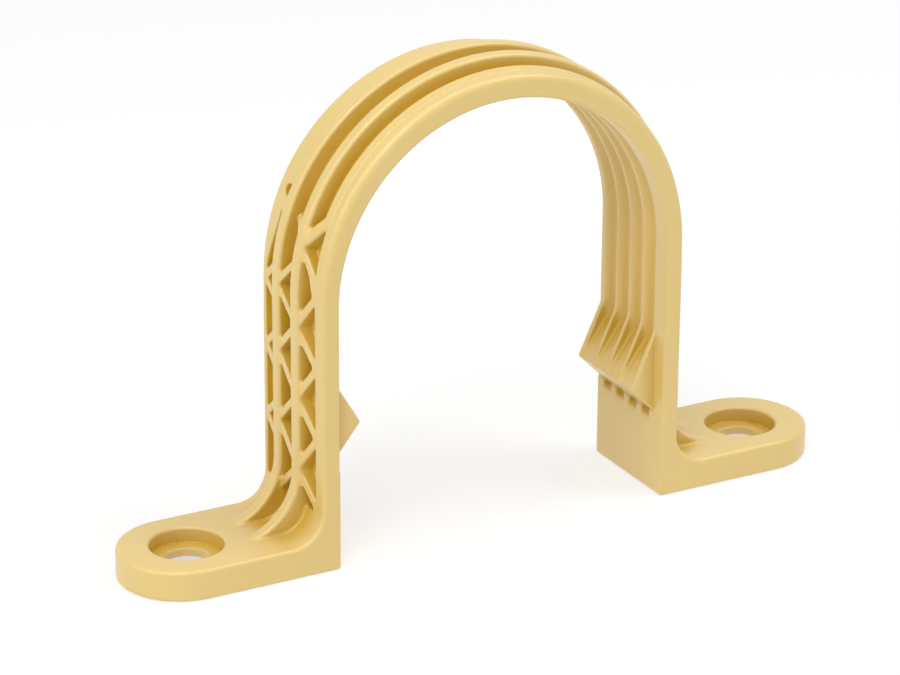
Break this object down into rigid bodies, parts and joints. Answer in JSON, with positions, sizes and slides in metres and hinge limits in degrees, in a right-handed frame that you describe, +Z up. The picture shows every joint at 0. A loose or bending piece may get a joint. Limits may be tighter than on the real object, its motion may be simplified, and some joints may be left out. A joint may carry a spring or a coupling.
{
  "type": "pipe strap",
  "caption": "Moulded two-hole pipe strap: a ribbed, lattice-braced band arches between two flat feet with counterbored holes and inner snap teeth.",
  "frame": {"origin": "middle of the base plane, below the centre of the arch", "axes": "+X along the two feet, +Y across the band and along the pipe, +Z up from the mounting surface"},
  "size_m": [0.1146, 0.019, 0.072],
  "materials": {
    "tan_plastic": "satin moulded plastic, light tan"
  },
  "bodies": {
    "root": {"pipe_strap": "tan_plastic"}
  },
  "joints": []
}
